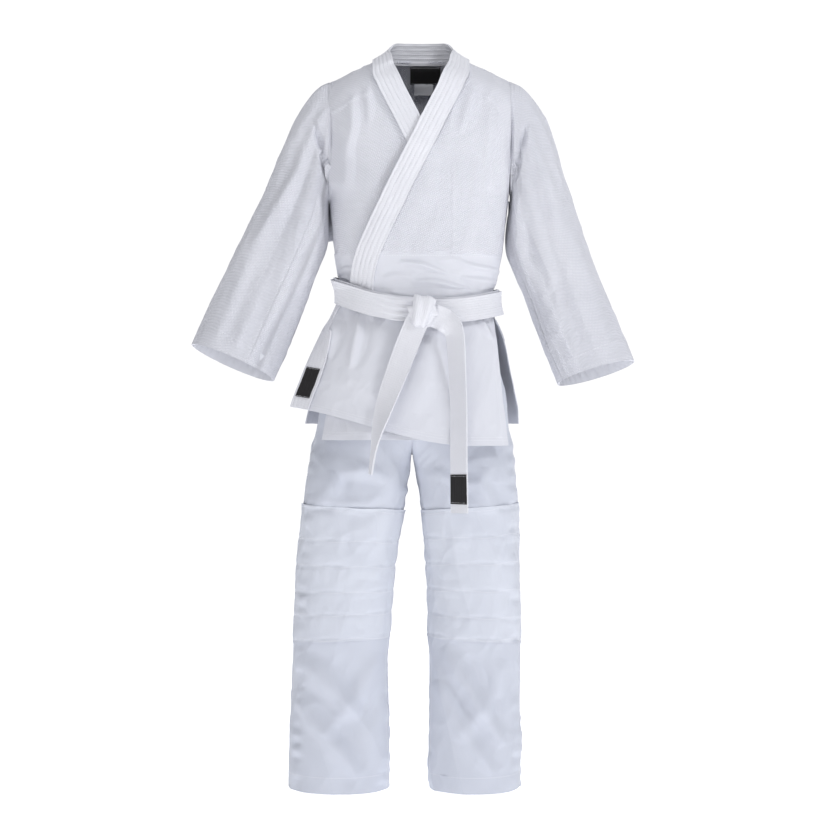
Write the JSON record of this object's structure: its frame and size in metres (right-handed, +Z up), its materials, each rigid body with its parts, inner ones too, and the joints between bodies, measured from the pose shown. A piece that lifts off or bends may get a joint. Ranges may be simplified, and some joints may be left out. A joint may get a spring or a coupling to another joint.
{
  "type": "judo uniform",
  "caption": "White judo uniform as worn: wrap jacket with quilted lapel and wide sleeves, tied cloth belt with hanging ends, and straight trousers with quilted knees.",
  "frame": {"origin": "centre of the neck opening, at the height of the neck points of the shoulders", "axes": "+Z up along the body, +X to the wearer's left, -Y to the wearer's front"},
  "size_m": [0.8242, 0.3174, 1.3747],
  "materials": {
    "grain_cotton": "rice-grain weave cotton, matt, bleached",
    "smooth_cotton": "smooth plain-weave cotton, matt, bleached",
    "band_cotton": "thick cotton band, quilted in rows along its length",
    "belt_cotton": "folded cotton belt, stitched in rows along its length",
    "trouser_drill": "light cotton drill, matt",
    "knee_drill": "cotton drill, quilted across",
    "dark_label": "woven black label, plain",
    "tag_cloth": "thin satin tag, plain"
  },
  "bodies": {
    "jacket": {"back_panel": "grain_cotton", "yoke_left": "grain_cotton", "yoke_right": "grain_cotton", "yoke_back": "grain_cotton", "front_left_panel": "grain_cotton", "front_right_panel": "grain_cotton", "waist_back": "smooth_cotton", "waist_front_left": "smooth_cotton", "waist_front_right": "smooth_cotton", "collar_back_band": "band_cotton", "lapel_left_band": "band_cotton", "lapel_right_band": "band_cotton", "neck_label": "dark_label", "size_tag": "tag_cloth", "chest_facing_left": "grain_cotton", "underarm_gusset_left": "grain_cotton", "underarm_gusset_right": "grain_cotton", "belt_inner_turn": "belt_cotton", "belt_outer_turn": "belt_cotton", "belt_knot": "belt_cotton"},
    "sleeve_left": {"sleeve_left": "grain_cotton", "cuff_facing_left": "smooth_cotton"},
    "sleeve_right": {"sleeve_right": "grain_cotton", "cuff_facing_right": "smooth_cotton"},
    "front_skirt": {"skirt_front_outer": "smooth_cotton", "skirt_front_inner": "smooth_cotton", "skirt_lapel_band": "band_cotton", "jacket_badge": "dark_label"},
    "back_skirt": {"skirt_back": "smooth_cotton", "vent_patch_left": "smooth_cotton", "vent_patch_right": "smooth_cotton"},
    "belt_tail_left": {"belt_tail_left": "belt_cotton", "belt_badge": "dark_label"},
    "belt_tail_right": {"belt_tail_right": "belt_cotton"},
    "trousers": {"trouser_waistband": "trouser_drill", "hip_front_left": "trouser_drill", "hip_front_right": "trouser_drill", "hip_seat_left": "trouser_drill", "hip_seat_right": "trouser_drill", "crotch_gusset": "trouser_drill", "waist_loop_left": "trouser_drill", "waist_loop_right": "trouser_drill"},
    "leg_left": {"leg_front_left": "trouser_drill", "leg_back_left": "trouser_drill", "knee_patch_left": "knee_drill", "hem_facing_left": "trouser_drill"},
    "leg_right": {"leg_front_right": "trouser_drill", "leg_back_right": "trouser_drill", "knee_patch_right": "knee_drill", "hem_facing_right": "trouser_drill"}
  },
  "joints": [
    {"name": "sleeve_left_raise", "type": "hinge", "parent": "jacket", "child": "sleeve_left", "pos_m": [0.1724, 0, -0.046], "axis": [0, -1, 0], "range_deg": [0, 60]},
    {"name": "sleeve_right_raise", "type": "hinge", "parent": "jacket", "child": "sleeve_right", "pos_m": [-0.1724, 0, -0.046], "axis": [0, 1, 0], "range_deg": [0, 60]},
    {"name": "front_skirt_lift", "type": "hinge", "parent": "jacket", "child": "front_skirt", "pos_m": [0, -0.14509, -0.485], "axis": [-1, 0, 0], "range_deg": [0, 30]},
    {"name": "back_skirt_lift", "type": "hinge", "parent": "jacket", "child": "back_skirt", "pos_m": [0, 0.10773, -0.4445], "axis": [1, 0, 0], "range_deg": [0, 35]},
    {"name": "belt_tail_left_swing", "type": "hinge", "parent": "front_skirt", "child": "belt_tail_left", "pos_m": [0, -0.14509, -0.485], "axis": [-1, 0, 0], "range_deg": [0, 50]},
    {"name": "belt_tail_right_swing", "type": "hinge", "parent": "front_skirt", "child": "belt_tail_right", "pos_m": [0, -0.14509, -0.485], "axis": [-1, 0, 0], "range_deg": [0, 50]},
    {"name": "trousers_pull_down", "type": "slide", "parent": "jacket", "child": "trousers", "axis": [0, 0, -1], "range_m": [0, 0.3]},
    {"name": "leg_left_spread", "type": "hinge", "parent": "trousers", "child": "leg_left", "pos_m": [0.1687, 0, -0.7255], "axis": [0, -1, 0], "range_deg": [0, 18]},
    {"name": "leg_right_spread", "type": "hinge", "parent": "trousers", "child": "leg_right", "pos_m": [-0.2021, 0, -0.7255], "axis": [0, 1, 0], "range_deg": [0, 18]}
  ]
}
